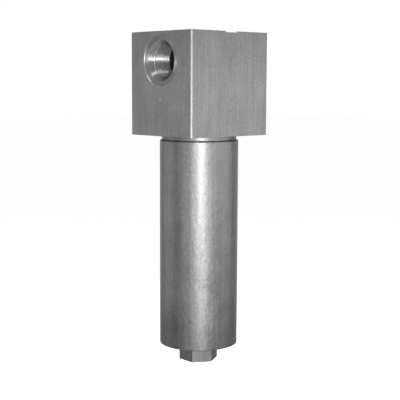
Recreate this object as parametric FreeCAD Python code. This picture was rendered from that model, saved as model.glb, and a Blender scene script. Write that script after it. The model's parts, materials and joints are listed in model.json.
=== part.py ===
# Hydraulic pressure filter: a square head with two threaded ports, a screwed bowl that
# hangs below it, and a pleated element on a spigot inside.
# Units are millimetres. The origin is the centre of the head's top face, +Z is up,
# the inlet is on the -X face and the outlet on the +X face.
import FreeCAD, Part
import math
import os

from FreeCAD import Vector

# Head block
HEAD_LENGTH = 100.0           # along X, from the inlet face to the outlet face
HEAD_WIDTH = 90.0             # along Y
HEAD_HEIGHT = 100.0
HEAD_EDGE_CHAMFER = 1.25      # on the four upright edges
TOP_RECESS_DIAMETER = 91.1    # shallow round facing cut that just breaks out of the long sides
TOP_RECESS_DEPTH = 1.15
PUNCH_MARK_DIAMETER = 5.0     # small round mark below the inlet
PUNCH_MARK_DEPTH = 0.4
PUNCH_MARK_DROP = 64.5        # below the top face

# Mounting holes in the corner pads of the top face, M10
MOUNT_SPACING_X = 78.0
MOUNT_SPACING_Y = 72.0
MOUNT_HOLE_DIAMETER = 10.0
MOUNT_HOLE_DEPTH = 16.0

# Ports, G1 parallel thread: the plain wall stands at the thread's major diameter
PORT_DROP = 27.8              # port axis below the top face
PORT_THREAD_DIAMETER = 33.25
PORT_THREAD_DEPTH = 25.3      # from the head's face to the end of the thread
PORT_SPOTFACE_DIAMETER = 48.8
PORT_SPOTFACE_DEPTH = 0.5
PORT_COUNTERSINK_DIAMETER = 40.0
PORT_RELIEF_DIAMETER = 34.6   # thread run-out groove
PORT_RELIEF_LENGTH = 3.0
GALLERY_DIAMETER = 28.0       # drilling behind each port
GALLERY_WEB = 6.5             # metal left between the inlet gallery and the outlet riser

# Passages inside the head
RISER_DIAMETER = 19.0         # from the spigot up to the outlet drilling
INLET_DROP_DIAMETER = 13.0    # two drillings from the inlet down to the chamber
INLET_DROP_RADIUS = 21.5      # their distance from the head's axis
INLET_DROP_HALF_ANGLE = 20.7  # degrees either side of -X
CHAMBER_HEIGHT = 8.0          # from the bowl's seat up to the chamber's ceiling

# Bowl thread M76x2 and its seal
BOWL_THREAD_DIAMETER = 76.0
BOWL_THREAD_PITCH = 2.0
BOWL_THREAD_LENGTH = 19.0
BOWL_SEAL_LENGTH = 15.0       # plain bore above the thread
BOWL_SEAL_DIAMETER = 70.9
BOWL_SEAL_CLEARANCE = 0.1     # radial, between the bowl's land and the head's bore
BOWL_MOUTH_CHAMFER = 1.0
SEAL_RING_SECTION = 2.15
SEAL_RING_CLEARANCE = 0.3     # the rings stand clear of the bowl, the bore and each other
BACKUP_RING_THICKNESS = 1.2
RING_SECTION_SIDES = 8        # an O-ring's section is drawn as a polygon

# Bowl
BOWL_DIAMETER = 78.0
BOWL_NECK_DIAMETER = 74.0
BOWL_NECK_HEIGHT = 4.0        # neck seen between the head and the bowl's shoulder
BOWL_LENGTH = 210.0           # from the head's underside to the bowl's flat bottom
BOWL_BORE_DIAMETER = 58.0
BOWL_FLOOR = 18.0
BOWL_FLOOR_FILLET = 4.0
BOWL_RIM_CHAMFER = 0.8
WRENCH_HEX_FLATS = 34.0
WRENCH_HEX_LENGTH = 17.5

# Drain in the wrench hex, G1/4
DRAIN_THREAD_DIAMETER = 13.16
DRAIN_THREAD_MINOR = 11.4
DRAIN_THREAD_LENGTH = 11.5
DRAIN_SPOTFACE_DIAMETER = 21.0
DRAIN_SPOTFACE_DEPTH = 5.0
DRAIN_PASSAGE_DIAMETER = 6.0
DRAIN_PLUG_LENGTH = 10.5
DRAIN_COLLAR_DIAMETER = 19.0
DRAIN_COLLAR_HEIGHT = 3.5
DRAIN_SOCKET_FLATS = 6.0
DRAIN_SOCKET_DEPTH = 6.0
DRAIN_SEAL_THICKNESS = 1.2
DRAIN_SEAL_BORE = 13.8

# Pressure indicator port in the back face, G1/2, closed by a plug
INDICATOR_OFFSET = -12.5      # along X, so that it reaches both galleries
INDICATOR_THREAD_DIAMETER = 20.96
INDICATOR_THREAD_DEPTH = 14.0
INDICATOR_SENSE_DIAMETER = 4.0
INDICATOR_SENSE_SPACING = 14.0
INDICATOR_PLUG_CLEARANCE = 0.1
INDICATOR_PLUG_LENGTH = 12.0
INDICATOR_COLLAR_DIAMETER = 28.0
INDICATOR_COLLAR_HEIGHT = 4.5
INDICATOR_SOCKET_FLATS = 10.0
INDICATOR_SOCKET_DEPTH = 7.0
INDICATOR_SEAL_THICKNESS = 1.5
INDICATOR_SEAL_BORE = 21.6
PLUG_EDGE_CHAMFER = 0.8

# Spigot that carries the element
SPIGOT_NOSE_DIAMETER = 24.0
SPIGOT_NOSE_LENGTH = 12.0
SPIGOT_NOSE_CLEARANCE = 0.1
SPIGOT_NOSE_HEADROOM = 1.0    # left above the nose in its socket
SPIGOT_FLANGE_DIAMETER = 29.0
SPIGOT_FLANGE_THICKNESS = 3.0
SPIGOT_WASHER_THICKNESS = 1.0
SPIGOT_SHANK_DIAMETER = 24.0
SPIGOT_SHANK_LENGTH = 22.0
SPIGOT_TIP_CHAMFER = 1.5

# Filter element
CAP_DIAMETER = 48.8
CAP_THICKNESS = 3.0
CAP_RIM_HEIGHT = 4.0
CAP_RIM_WALL = 0.8
CAP_HUB_DIAMETER = 34.0
CAP_HUB_HEIGHT = 11.0
CAP_BORE_CLEARANCE = 0.1
CAP_GROOVE_DROP = 4.0
CAP_GROOVE_WIDTH = 3.6
ELEMENT_RING_SECTION = 2.5
ELEMENT_RING_GAP = 0.05
ELEMENT_LENGTH = 205.0        # between the two caps
CORE_BORE_DIAMETER = 25.4
CORE_WALL = 0.9
CORE_WINDOW_WIDTH = 9.0
CORE_WINDOW_HEIGHT = 16.0
CORE_WINDOW_MARGIN = 20.0     # from each end of the core to the middle of the first row
CORE_WINDOWS_AROUND = 4
CORE_WINDOW_ROWS = 7
PLEAT_COUNT = 48
PLEAT_RIM_CLEARANCE = 0.3     # between the folds and the caps' rims
PLEAT_CORE_GAP = 0.4
PLEAT_SHEET = 0.55
PLEAT_FOLD_WIDTH = 1.9
PLEAT_VALLEY_WIDTH = 0.6
SEAM_CLIP_WALL = 0.3
SEAM_CLIP_DEPTH = 2.0
SEAM_CLIP_GAP = 0.05
SEAM_CLIP_END_GAP = 0.5

# Bypass valve in the element's lower cap
VALVE_BOSS_CLEARANCE = 0.2    # radial, inside the core tube
VALVE_BOSS_HEIGHT = 6.0
VALVE_POCKET_DIAMETER = 21.7
VALVE_POCKET_DEPTH = 4.0
VALVE_OPENING_DIAMETER = 13.0
CAGE_FIT = 0.05
CAGE_FLANGE_THICKNESS = 1.5
CAGE_DIAMETER = 19.4
CAGE_WALL = 0.8
CAGE_HEIGHT = 25.0
CAGE_TOP_THICKNESS = 2.0
CAGE_WINDOWS = 4
CAGE_WINDOW_WIDTH = 7.0
CAGE_WINDOW_HEIGHT = 10.0
RETAINING_RING_THICKNESS = 1.0
RETAINING_RING_BITE = 0.55    # into the pocket's wall
RETAINING_RING_GAP_ANGLE = 40.0
POPPET_CLEARANCE = 0.5        # radial, inside the cage
POPPET_THICKNESS = 3.0
POPPET_STEM_DIAMETER = 4.8
POPPET_STEM_CLEARANCE = 0.1
POPPET_STEM_OVERHANG = 4.0
SPRING_WIRE = 1.2
SPRING_MEAN_DIAMETER = 12.0
SPRING_TURNS = 5
SPRING_STEPS_PER_TURN = 18
SPRING_WIRE_SIDES = 6

# Values worked out from the sizes above
MOUTH_Z = -HEAD_HEIGHT
SEAL_BORE_START_Z = MOUTH_Z + BOWL_THREAD_LENGTH
SEAT_Z = SEAL_BORE_START_Z + BOWL_SEAL_LENGTH
CEILING_Z = SEAT_Z + CHAMBER_HEIGHT
PORT_Z = -PORT_DROP
INLET_FACE_X = -HEAD_LENGTH / 2
OUTLET_FACE_X = HEAD_LENGTH / 2
BACK_FACE_Y = HEAD_WIDTH / 2
SEAL_BORE_RADIUS = BOWL_SEAL_DIAMETER / 2 + BOWL_SEAL_CLEARANCE
SEAL_SHELF_Z = SEAT_Z - SEAL_RING_SECTION - BACKUP_RING_THICKNESS - 3 * SEAL_RING_CLEARANCE
SEAL_RING_OUTER_RADIUS = SEAL_BORE_RADIUS - SEAL_RING_CLEARANCE
BOWL_RIM_RADIUS = SEAL_RING_OUTER_RADIUS - SEAL_RING_SECTION - SEAL_RING_CLEARANCE
THREAD_HEIGHT_PER_PITCH = 0.6134
BOWL_THREAD_MINOR_RADIUS = BOWL_THREAD_DIAMETER / 2 - THREAD_HEIGHT_PER_PITCH * BOWL_THREAD_PITCH
BOWL_BOTTOM_Z = MOUTH_Z - BOWL_LENGTH
HEX_BOTTOM_Z = BOWL_BOTTOM_Z - WRENCH_HEX_LENGTH
DRAIN_FACE_Z = HEX_BOTTOM_Z + DRAIN_SPOTFACE_DEPTH
FLANGE_TOP_Z = CEILING_Z - SPIGOT_WASHER_THICKNESS
FLANGE_BOTTOM_Z = FLANGE_TOP_Z - SPIGOT_FLANGE_THICKNESS
CAP_UNDERSIDE_Z = FLANGE_BOTTOM_Z - CAP_HUB_HEIGHT - CAP_THICKNESS
LOWER_CAP_TOP_Z = CAP_UNDERSIDE_Z - ELEMENT_LENGTH
CAP_BORE_RADIUS = SPIGOT_SHANK_DIAMETER / 2 + CAP_BORE_CLEARANCE
ELEMENT_RING_OUTER_RADIUS = SPIGOT_SHANK_DIAMETER / 2 + ELEMENT_RING_GAP + ELEMENT_RING_SECTION
CAP_GROOVE_RADIUS = ELEMENT_RING_OUTER_RADIUS + ELEMENT_RING_GAP
CORE_OUTER_RADIUS = CORE_BORE_DIAMETER / 2 + CORE_WALL
PLEAT_OUTER_RADIUS = CAP_DIAMETER / 2 - CAP_RIM_WALL - PLEAT_RIM_CLEARANCE
VALVE_BOSS_TOP_Z = LOWER_CAP_TOP_Z + VALVE_BOSS_HEIGHT
VALVE_SEAT_Z = VALVE_BOSS_TOP_Z - VALVE_POCKET_DEPTH
CAGE_TOP_Z = VALVE_SEAT_Z + CAGE_HEIGHT
CAGE_ROOF_Z = CAGE_TOP_Z - CAGE_TOP_THICKNESS
CAGE_BORE_RADIUS = CAGE_DIAMETER / 2 - CAGE_WALL
POPPET_TOP_Z = VALVE_SEAT_Z + POPPET_THICKNESS
EXTRA = 1.0                   # how far a cutting tool runs past an open face

UP = Vector(0, 0, 1)


def cylinder_z(diameter, z_low, z_high, x=0.0, y=0.0):
    """An upright cylinder between two heights."""
    return Part.makeCylinder(diameter / 2, z_high - z_low, Vector(x, y, z_low), UP)


def cylinder_y(diameter, y_low, y_high, x, z):
    """A cylinder along Y between two places."""
    return Part.makeCylinder(diameter / 2, y_high - y_low, Vector(x, y_low, z), Vector(0, 1, 0))


def turned(profile):
    """A solid of revolution about Z from (radius, z) points."""
    points = [Vector(radius, 0, z) for radius, z in profile]
    face = Part.Face(Part.makePolygon(points + [points[0]]))
    return face.revolve(Vector(0, 0, 0), UP, 360)


def ring(inner_diameter, outer_diameter, z_low, z_high):
    """A flat upright ring of rectangular section."""
    return turned([
        (inner_diameter / 2, z_low), (outer_diameter / 2, z_low),
        (outer_diameter / 2, z_high), (inner_diameter / 2, z_high)])


def o_ring(outer_radius, section, z_low):
    """A sealing ring from its outer radius, the diameter of its section and its lowest height."""
    middle = outer_radius - section / 2
    corner_radius = section / 2 / math.cos(math.pi / RING_SECTION_SIDES)
    angles = [math.pi * (2 * i + 1) / RING_SECTION_SIDES for i in range(RING_SECTION_SIDES)]
    return turned([
        (middle + corner_radius * math.cos(a), z_low + section / 2 + corner_radius * math.sin(a)) for a in angles])


def hex_prism(flats, z_low, z_high):
    """An upright hexagonal prism with two flats facing along X."""
    corner_radius = flats / math.sqrt(3)
    angles = [math.radians(30 + 60 * i) for i in range(6)]
    corners = [Vector(corner_radius * math.cos(a), corner_radius * math.sin(a), z_low) for a in angles]
    face = Part.Face(Part.makePolygon(corners + [corners[0]]))
    return face.extrude(UP * (z_high - z_low))


def about_z(shape, degrees):
    """A copy turned about the Z axis."""
    copy = shape.copy()
    copy.rotate(Vector(0, 0, 0), UP, degrees)
    return copy


def laid_along_x(shape, face_x, z, outward):
    """A copy of an upright tool whose top stands at z = 0, laid so that +Z points out of a face."""
    copy = shape.copy()
    copy.rotate(Vector(0, 0, 0), Vector(0, 1, 0), 90 * outward)
    copy.translate(Vector(face_x, 0, z))
    return copy


def socket_plug(thread_diameter, length, collar_diameter, collar_height, flats, socket_depth):
    """A collared plug with a hexagon socket. Its collar starts at z = 0 and the thread points down."""
    body = turned([
        (0, -length), (thread_diameter / 2 - PLUG_EDGE_CHAMFER, -length),
        (thread_diameter / 2, -length + PLUG_EDGE_CHAMFER), (thread_diameter / 2, 0),
        (collar_diameter / 2, 0), (collar_diameter / 2, collar_height - PLUG_EDGE_CHAMFER),
        (collar_diameter / 2 - PLUG_EDGE_CHAMFER, collar_height), (0, collar_height)])
    return body.cut(hex_prism(flats, collar_height - socket_depth, collar_height + EXTRA))


def port_tool():
    """The spotface, countersink, thread and relief of one port, upright, with the head's face at z = 0."""
    spotface_radius = PORT_SPOTFACE_DIAMETER / 2
    countersink_radius = PORT_COUNTERSINK_DIAMETER / 2
    thread_radius = PORT_THREAD_DIAMETER / 2
    relief_radius = PORT_RELIEF_DIAMETER / 2
    countersink_depth = PORT_SPOTFACE_DEPTH + countersink_radius - thread_radius
    relief_end = PORT_THREAD_DEPTH + PORT_RELIEF_LENGTH
    return turned([
        (0, EXTRA), (spotface_radius, EXTRA), (spotface_radius, -PORT_SPOTFACE_DEPTH),
        (countersink_radius, -PORT_SPOTFACE_DEPTH), (thread_radius, -countersink_depth),
        (thread_radius, -PORT_THREAD_DEPTH), (relief_radius, -PORT_THREAD_DEPTH),
        (relief_radius, -relief_end), (0, -relief_end)])


def bowl_cavity_tool():
    """The stepped bore in the head's underside: mouth, thread, seal bore and chamber."""
    thread_radius = BOWL_THREAD_DIAMETER / 2
    chamber_radius = BOWL_BORE_DIAMETER / 2
    return turned([
        (0, MOUTH_Z - EXTRA), (thread_radius + BOWL_MOUTH_CHAMFER, MOUTH_Z - EXTRA),
        (thread_radius + BOWL_MOUTH_CHAMFER, MOUTH_Z), (thread_radius, MOUTH_Z + BOWL_MOUTH_CHAMFER),
        (thread_radius, SEAL_BORE_START_Z), (SEAL_BORE_RADIUS, SEAL_BORE_START_Z),
        (SEAL_BORE_RADIUS, SEAT_Z), (chamber_radius, SEAT_Z),
        (chamber_radius, CEILING_Z), (0, CEILING_Z)])


def head_passages():
    """The galleries behind the ports and the drillings from them to the chamber and the spigot."""
    nose_socket_diameter = SPIGOT_NOSE_DIAMETER + 2 * SPIGOT_NOSE_CLEARANCE
    nose_socket_top = FLANGE_TOP_Z + SPIGOT_NOSE_LENGTH + SPIGOT_NOSE_HEADROOM
    riser_radius = RISER_DIAMETER / 2
    gallery_radius = GALLERY_DIAMETER / 2
    inlet_gallery = Part.makeCylinder(
        gallery_radius, HEAD_LENGTH / 2 - GALLERY_WEB - riser_radius,
        Vector(INLET_FACE_X, 0, PORT_Z), Vector(1, 0, 0))
    outlet_gallery = Part.makeCylinder(
        gallery_radius, HEAD_LENGTH / 2 + riser_radius,
        Vector(OUTLET_FACE_X, 0, PORT_Z), Vector(-1, 0, 0))
    tools = [
        inlet_gallery, outlet_gallery,
        cylinder_z(nose_socket_diameter, CEILING_Z - EXTRA, nose_socket_top),
        cylinder_z(RISER_DIAMETER, CEILING_Z - EXTRA, PORT_Z)]
    for side in (-1, 1):
        angle = math.radians(180 + side * INLET_DROP_HALF_ANGLE)
        x = INLET_DROP_RADIUS * math.cos(angle)
        y = INLET_DROP_RADIUS * math.sin(angle)
        tools.append(cylinder_z(INLET_DROP_DIAMETER, CEILING_Z - EXTRA, PORT_Z, x, y))
    return tools


def indicator_port_tools():
    """The threaded port in the back face and the two small sensing drillings behind it."""
    port_floor_y = BACK_FACE_Y - INDICATOR_THREAD_DEPTH
    tools = [cylinder_y(INDICATOR_THREAD_DIAMETER, port_floor_y, BACK_FACE_Y + EXTRA, INDICATOR_OFFSET, PORT_Z)]
    for side in (-1, 1):
        x = INDICATOR_OFFSET + side * INDICATOR_SENSE_SPACING / 2
        tools.append(cylinder_y(INDICATOR_SENSE_DIAMETER, 0, port_floor_y + EXTRA, x, PORT_Z))
    return tools


def mounting_hole_tools():
    """Four blind holes in the top face."""
    return [
        cylinder_z(MOUNT_HOLE_DIAMETER, -MOUNT_HOLE_DEPTH, EXTRA, sx * MOUNT_SPACING_X / 2, sy * MOUNT_SPACING_Y / 2)
        for sx in (-1, 1) for sy in (-1, 1)]


def head_block():
    """The machined head: block, top recess, ports, bowl cavity and passages."""
    half_length = HEAD_LENGTH / 2
    half_width = HEAD_WIDTH / 2
    cut = HEAD_EDGE_CHAMFER
    outline = [
        (-half_length + cut, -half_width), (half_length - cut, -half_width),
        (half_length, -half_width + cut), (half_length, half_width - cut),
        (half_length - cut, half_width), (-half_length + cut, half_width),
        (-half_length, half_width - cut), (-half_length, -half_width + cut)]
    corners = [Vector(x, y, MOUTH_Z) for x, y in outline]
    block = Part.Face(Part.makePolygon(corners + [corners[0]])).extrude(UP * HEAD_HEIGHT)
    top_recess = cylinder_z(TOP_RECESS_DIAMETER, -TOP_RECESS_DEPTH, EXTRA)
    punch_mark = Part.makeCone(
        PUNCH_MARK_DIAMETER / 2 - PUNCH_MARK_DEPTH, PUNCH_MARK_DIAMETER / 2,
        PUNCH_MARK_DEPTH, Vector(0, 0, -PUNCH_MARK_DEPTH), UP)
    tools = [
        top_recess, bowl_cavity_tool(),
        laid_along_x(port_tool(), INLET_FACE_X, PORT_Z, -1),
        laid_along_x(port_tool(), OUTLET_FACE_X, PORT_Z, 1),
        laid_along_x(punch_mark, INLET_FACE_X, -PUNCH_MARK_DROP, -1)]
    tools += head_passages() + indicator_port_tools() + mounting_hole_tools()
    return block.cut(tools)


def indicator_plug():
    """The plug in the indicator port, laid along Y with its collar outside."""
    plug = socket_plug(
        INDICATOR_THREAD_DIAMETER - 2 * INDICATOR_PLUG_CLEARANCE, INDICATOR_PLUG_LENGTH,
        INDICATOR_COLLAR_DIAMETER, INDICATOR_COLLAR_HEIGHT, INDICATOR_SOCKET_FLATS, INDICATOR_SOCKET_DEPTH)
    plug.rotate(Vector(0, 0, 0), Vector(1, 0, 0), -90)
    plug.translate(Vector(INDICATOR_OFFSET, BACK_FACE_Y + INDICATOR_SEAL_THICKNESS, PORT_Z))
    return plug


def indicator_plug_seal():
    """The flat seal between the plug's collar and the head."""
    outer = cylinder_y(
        INDICATOR_COLLAR_DIAMETER, BACK_FACE_Y, BACK_FACE_Y + INDICATOR_SEAL_THICKNESS, INDICATOR_OFFSET, PORT_Z)
    inner = cylinder_y(
        INDICATOR_SEAL_BORE, BACK_FACE_Y - EXTRA, BACK_FACE_Y + INDICATOR_SEAL_THICKNESS + EXTRA,
        INDICATOR_OFFSET, PORT_Z)
    return outer.cut(inner)


def bowl():
    """The bowl: threaded neck, land and seal shelf, plain body, wrench hex and drain port."""
    land_radius = BOWL_SEAL_DIAMETER / 2
    neck_radius = BOWL_NECK_DIAMETER / 2
    body_radius = BOWL_DIAMETER / 2
    neck_bottom = MOUTH_Z - BOWL_NECK_HEIGHT
    shoulder_bottom = neck_bottom - (body_radius - neck_radius)
    bore_radius = BOWL_BORE_DIAMETER / 2
    floor_z = BOWL_BOTTOM_Z + BOWL_FLOOR
    outside = turned([
        (0, BOWL_BOTTOM_Z), (body_radius, BOWL_BOTTOM_Z), (body_radius, shoulder_bottom),
        (neck_radius, neck_bottom), (neck_radius, MOUTH_Z),
        (BOWL_THREAD_MINOR_RADIUS, MOUTH_Z), (BOWL_THREAD_MINOR_RADIUS, SEAL_BORE_START_Z - BOWL_RIM_CHAMFER),
        (land_radius, SEAL_BORE_START_Z - BOWL_RIM_CHAMFER), (land_radius, SEAL_SHELF_Z),
        (BOWL_RIM_RADIUS, SEAL_SHELF_Z), (BOWL_RIM_RADIUS, SEAT_Z - BOWL_RIM_CHAMFER),
        (BOWL_RIM_RADIUS - BOWL_RIM_CHAMFER, SEAT_Z), (0, SEAT_Z)])
    inside = cylinder_z(BOWL_BORE_DIAMETER, floor_z, SEAT_Z + EXTRA)
    floor_edge = [e for e in inside.Edges if abs(e.BoundBox.ZMax - floor_z) < 1e-6 and len(e.Vertexes) == 1]
    inside = inside.makeFillet(min(BOWL_FLOOR_FILLET, bore_radius / 2), floor_edge)
    wrench_hex = hex_prism(WRENCH_HEX_FLATS, HEX_BOTTOM_Z, BOWL_BOTTOM_Z + EXTRA)
    drain = [
        cylinder_z(DRAIN_SPOTFACE_DIAMETER, HEX_BOTTOM_Z - EXTRA, DRAIN_FACE_Z),
        cylinder_z(DRAIN_THREAD_DIAMETER, DRAIN_FACE_Z - EXTRA, DRAIN_FACE_Z + DRAIN_THREAD_LENGTH),
        cylinder_z(DRAIN_PASSAGE_DIAMETER, DRAIN_FACE_Z, floor_z + EXTRA)]
    return outside.fuse(wrench_hex).cut([inside] + drain).removeSplitter()


def bowl_o_ring():
    """The O-ring on the shelf round the bowl's rim."""
    return o_ring(SEAL_RING_OUTER_RADIUS, SEAL_RING_SECTION, SEAL_SHELF_Z + SEAL_RING_CLEARANCE)


def bowl_backup_ring():
    """The flat ring above the O-ring, below the head's seat."""
    top = SEAT_Z - SEAL_RING_CLEARANCE
    bore = 2 * (BOWL_RIM_RADIUS + SEAL_RING_CLEARANCE)
    return ring(bore, 2 * SEAL_RING_OUTER_RADIUS, top - BACKUP_RING_THICKNESS, top)


def drain_plug():
    """The drain plug, turned over so that its collar points down inside the hex."""
    plug = socket_plug(
        DRAIN_THREAD_MINOR, DRAIN_PLUG_LENGTH, DRAIN_COLLAR_DIAMETER,
        DRAIN_COLLAR_HEIGHT, DRAIN_SOCKET_FLATS, DRAIN_SOCKET_DEPTH)
    plug.rotate(Vector(0, 0, 0), Vector(1, 0, 0), 180)
    plug.translate(Vector(0, 0, DRAIN_FACE_Z - DRAIN_SEAL_THICKNESS))
    return plug


def drain_seal():
    """The flat seal between the drain plug's collar and the hex."""
    return ring(DRAIN_SEAL_BORE, DRAIN_COLLAR_DIAMETER, DRAIN_FACE_Z - DRAIN_SEAL_THICKNESS, DRAIN_FACE_Z)


def element_spigot():
    """The turned spigot: nose in the head, flange against the ceiling, shank for the element."""
    bore_radius = RISER_DIAMETER / 2
    nose_radius = SPIGOT_NOSE_DIAMETER / 2
    shank_radius = SPIGOT_SHANK_DIAMETER / 2
    flange_radius = SPIGOT_FLANGE_DIAMETER / 2
    tip_z = FLANGE_BOTTOM_Z - SPIGOT_SHANK_LENGTH
    return turned([
        (bore_radius, tip_z), (shank_radius - SPIGOT_TIP_CHAMFER, tip_z),
        (shank_radius, tip_z + SPIGOT_TIP_CHAMFER), (shank_radius, FLANGE_BOTTOM_Z),
        (flange_radius, FLANGE_BOTTOM_Z), (flange_radius, FLANGE_TOP_Z),
        (nose_radius, FLANGE_TOP_Z), (nose_radius, FLANGE_TOP_Z + SPIGOT_NOSE_LENGTH),
        (bore_radius, FLANGE_TOP_Z + SPIGOT_NOSE_LENGTH)])


def spigot_washer():
    """The sealing washer between the spigot's flange and the chamber's ceiling."""
    bore = SPIGOT_NOSE_DIAMETER + 2 * SPIGOT_NOSE_CLEARANCE
    return ring(bore, SPIGOT_FLANGE_DIAMETER, FLANGE_TOP_Z, CEILING_Z)


def element_top_cap():
    """The upper end cap: hub with an O-ring groove, disc and rim."""
    rim_radius = CAP_DIAMETER / 2
    hub_radius = CAP_HUB_DIAMETER / 2
    disc_top = CAP_UNDERSIDE_Z + CAP_THICKNESS
    rim_bottom = CAP_UNDERSIDE_Z - CAP_RIM_HEIGHT
    groove_top = FLANGE_BOTTOM_Z - CAP_GROOVE_DROP
    groove_bottom = groove_top - CAP_GROOVE_WIDTH
    return turned([
        (CAP_BORE_RADIUS, CAP_UNDERSIDE_Z), (rim_radius - CAP_RIM_WALL, CAP_UNDERSIDE_Z),
        (rim_radius - CAP_RIM_WALL, rim_bottom), (rim_radius, rim_bottom),
        (rim_radius, disc_top), (hub_radius, disc_top), (hub_radius, FLANGE_BOTTOM_Z),
        (CAP_BORE_RADIUS, FLANGE_BOTTOM_Z), (CAP_BORE_RADIUS, groove_top),
        (CAP_GROOVE_RADIUS, groove_top), (CAP_GROOVE_RADIUS, groove_bottom),
        (CAP_BORE_RADIUS, groove_bottom)])


def element_o_ring():
    """The O-ring in the upper cap, round the spigot."""
    z_low = FLANGE_BOTTOM_Z - CAP_GROOVE_DROP - (CAP_GROOVE_WIDTH + ELEMENT_RING_SECTION) / 2
    return o_ring(ELEMENT_RING_OUTER_RADIUS, ELEMENT_RING_SECTION, z_low)


def element_core_tube():
    """The windowed tube that the pleats press against."""
    tube = ring(CORE_BORE_DIAMETER, 2 * CORE_OUTER_RADIUS, LOWER_CAP_TOP_Z, CAP_UNDERSIDE_Z)
    row_pitch = (ELEMENT_LENGTH - 2 * CORE_WINDOW_MARGIN) / (CORE_WINDOW_ROWS - 1)
    step = 360 / CORE_WINDOWS_AROUND
    windows = []
    for row in range(CORE_WINDOW_ROWS):
        z = LOWER_CAP_TOP_Z + CORE_WINDOW_MARGIN + row * row_pitch
        window = Part.makeBox(
            CORE_OUTER_RADIUS + EXTRA, CORE_WINDOW_WIDTH, CORE_WINDOW_HEIGHT,
            Vector(0, -CORE_WINDOW_WIDTH / 2, z - CORE_WINDOW_HEIGHT / 2))
        stagger = step / 2 if row % 2 else 0
        windows += [about_z(window, stagger + i * step) for i in range(CORE_WINDOWS_AROUND)]
    return tube.cut(windows)


def pleat_loop(outer_radius, outer_width, inner_radius, inner_width):
    """One side of the folded sheet as a closed star: two points per fold, two per valley."""
    points = []
    for i in range(PLEAT_COUNT):
        fold = 2 * math.pi * i / PLEAT_COUNT
        valley = fold + math.pi / PLEAT_COUNT
        outer_half = outer_width / 2 / outer_radius
        inner_half = inner_width / 2 / inner_radius
        corners = [
            (outer_radius, fold - outer_half), (outer_radius, fold + outer_half),
            (inner_radius, valley - inner_half), (inner_radius, valley + inner_half)]
        points += [Vector(r * math.cos(a), r * math.sin(a), LOWER_CAP_TOP_Z) for r, a in corners]
    return Part.makePolygon(points + [points[0]])


def pleated_media():
    """The filter sheet, folded into pleats round the core, cap to cap."""
    inner_radius = CORE_OUTER_RADIUS + PLEAT_CORE_GAP
    dirty_side = pleat_loop(
        PLEAT_OUTER_RADIUS, PLEAT_FOLD_WIDTH, inner_radius + PLEAT_SHEET, PLEAT_VALLEY_WIDTH)
    clean_side = pleat_loop(
        PLEAT_OUTER_RADIUS - PLEAT_SHEET, PLEAT_FOLD_WIDTH - 2 * PLEAT_SHEET,
        inner_radius, PLEAT_VALLEY_WIDTH + 2 * PLEAT_SHEET)
    sheet_section = Part.Face(dirty_side).cut(Part.Face(clean_side))
    return sheet_section.Faces[0].extrude(UP * ELEMENT_LENGTH)


def seam_clip():
    """The folded metal strip that closes the media's one joint, over the pleat at +X."""
    inner_half = PLEAT_FOLD_WIDTH / 2 + SEAM_CLIP_GAP
    outer_half = inner_half + SEAM_CLIP_WALL
    inner_x = PLEAT_OUTER_RADIUS + SEAM_CLIP_GAP
    foot_x = PLEAT_OUTER_RADIUS - SEAM_CLIP_DEPTH
    outline = [
        (foot_x, -outer_half), (inner_x + SEAM_CLIP_WALL, -outer_half),
        (inner_x + SEAM_CLIP_WALL, outer_half), (foot_x, outer_half),
        (foot_x, inner_half), (inner_x, inner_half), (inner_x, -inner_half), (foot_x, -inner_half)]
    z_low = LOWER_CAP_TOP_Z + CAP_RIM_HEIGHT + SEAM_CLIP_END_GAP
    z_high = CAP_UNDERSIDE_Z - CAP_RIM_HEIGHT - SEAM_CLIP_END_GAP
    corners = [Vector(x, y, z_low) for x, y in outline]
    return Part.Face(Part.makePolygon(corners + [corners[0]])).extrude(UP * (z_high - z_low))


def element_bottom_cap():
    """The lower end cap: disc, rim and the bypass valve's boss with its seat and ring groove."""
    rim_radius = CAP_DIAMETER / 2
    disc_bottom = LOWER_CAP_TOP_Z - CAP_THICKNESS
    rim_top = LOWER_CAP_TOP_Z + CAP_RIM_HEIGHT
    boss_radius = CORE_BORE_DIAMETER / 2 - VALVE_BOSS_CLEARANCE
    pocket_radius = VALVE_POCKET_DIAMETER / 2
    groove_radius = pocket_radius + RETAINING_RING_BITE
    opening_radius = VALVE_OPENING_DIAMETER / 2
    groove_bottom = VALVE_SEAT_Z + CAGE_FLANGE_THICKNESS
    groove_top = groove_bottom + RETAINING_RING_THICKNESS
    return turned([
        (opening_radius, disc_bottom), (rim_radius, disc_bottom), (rim_radius, rim_top),
        (rim_radius - CAP_RIM_WALL, rim_top), (rim_radius - CAP_RIM_WALL, LOWER_CAP_TOP_Z),
        (boss_radius, LOWER_CAP_TOP_Z), (boss_radius, VALVE_BOSS_TOP_Z), (pocket_radius, VALVE_BOSS_TOP_Z),
        (pocket_radius, groove_top), (groove_radius, groove_top), (groove_radius, groove_bottom),
        (pocket_radius, groove_bottom), (pocket_radius, VALVE_SEAT_Z), (opening_radius, VALVE_SEAT_Z)])


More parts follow.
